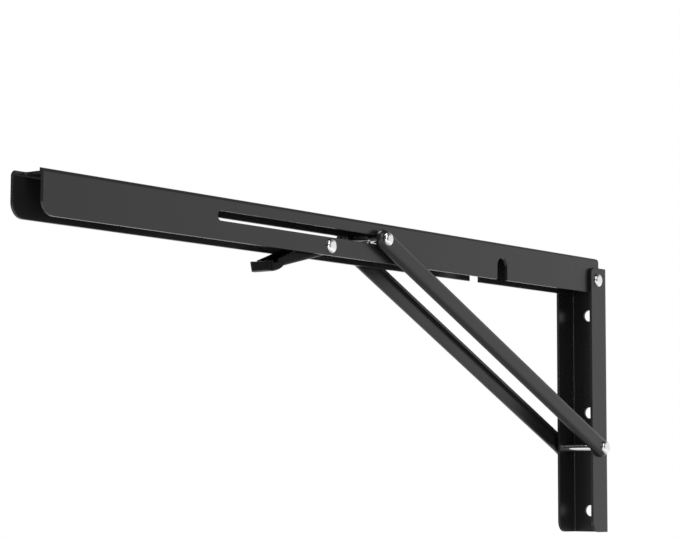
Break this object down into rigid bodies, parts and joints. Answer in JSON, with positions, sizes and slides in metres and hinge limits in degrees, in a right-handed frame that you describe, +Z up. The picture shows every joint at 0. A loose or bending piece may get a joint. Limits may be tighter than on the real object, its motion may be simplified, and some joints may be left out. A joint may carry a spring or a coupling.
{
  "type": "drop leaf table bracket",
  "caption": "Folding support bracket: a channel arm hinged on a wall channel, held level by twin braces on a slide pin, released by a sprung lever.",
  "frame": {"origin": "centre of the middle screw hole of the wall leg, on the face that lies on the wall", "axes": "+X into the wall along the screws, +Z up along the wall leg; the arm reaches toward -X and the near side of the picture is -Y"},
  "size_m": [0.602, 0.0462, 0.2091],
  "materials": {
    "leg_paint": "smooth gloss black paint",
    "arm_paint": "smooth gloss black paint",
    "bar_paint": "smooth gloss black paint",
    "lever_paint": "smooth gloss black paint",
    "hinge_zinc": "bright zinc plate",
    "rod_zinc": "bright zinc plate",
    "lever_rivet_zinc": "bright zinc plate",
    "top_rivet_zinc": "bright zinc plate",
    "pin_steel": "ground steel",
    "collar_steel": "plain steel",
    "spacer_steel": "plain steel",
    "spring_steel": "oiled spring wire"
  },
  "bodies": {
    "wall_leg": {"wall_leg": "leg_paint", "hinge_rivet": "hinge_zinc", "hinge_spacer": "spacer_steel", "lower_rod": "rod_zinc", "near_lower_collar": "collar_steel", "far_lower_collar": "collar_steel"},
    "support_arm": {"support_arm": "arm_paint", "lever_rivet": "lever_rivet_zinc", "lever_spacer": "spacer_steel"},
    "release_lever": {"release_lever": "lever_paint", "lever_spring": "spring_steel"},
    "slider": {"slide_pin": "pin_steel", "slide_roller": "pin_steel"},
    "braces": {"near_brace_bar": "bar_paint", "far_brace_bar": "bar_paint", "near_top_rivet": "top_rivet_zinc", "far_top_rivet": "top_rivet_zinc", "near_top_collar": "collar_steel", "far_top_collar": "collar_steel"}
  },
  "joints": [
    {"name": "arm_fold", "type": "hinge", "parent": "wall_leg", "child": "support_arm", "pos_m": [-0.0138, 0, 0.1008], "axis": [0, -1, 0], "range_deg": [0, 90]},
    {"name": "brace_swing", "type": "hinge", "parent": "wall_leg", "child": "braces", "pos_m": [-0.0129, 0, -0.0272], "axis": [0, -1, 0], "range_deg": [0, 114.51]},
    {"name": "slide_travel", "type": "slide", "parent": "support_arm", "child": "slider", "axis": [-1, 0, 0], "range_m": [0, 0.1594]},
    {"name": "lever_press", "type": "hinge", "parent": "support_arm", "child": "release_lever", "pos_m": [-0.34245, 0, 0.0975], "axis": [0, 1, 0], "range_deg": [-8, 10], "stiffness_Nm_per_rad": 0.15}
  ],
  "couplings": [
    {"joint": "brace_swing", "follows": "arm_fold", "ratio": 1.2723},
    {"joint": "slide_travel", "follows": "arm_fold", "m_per_rad": 0.1014}
  ]
}
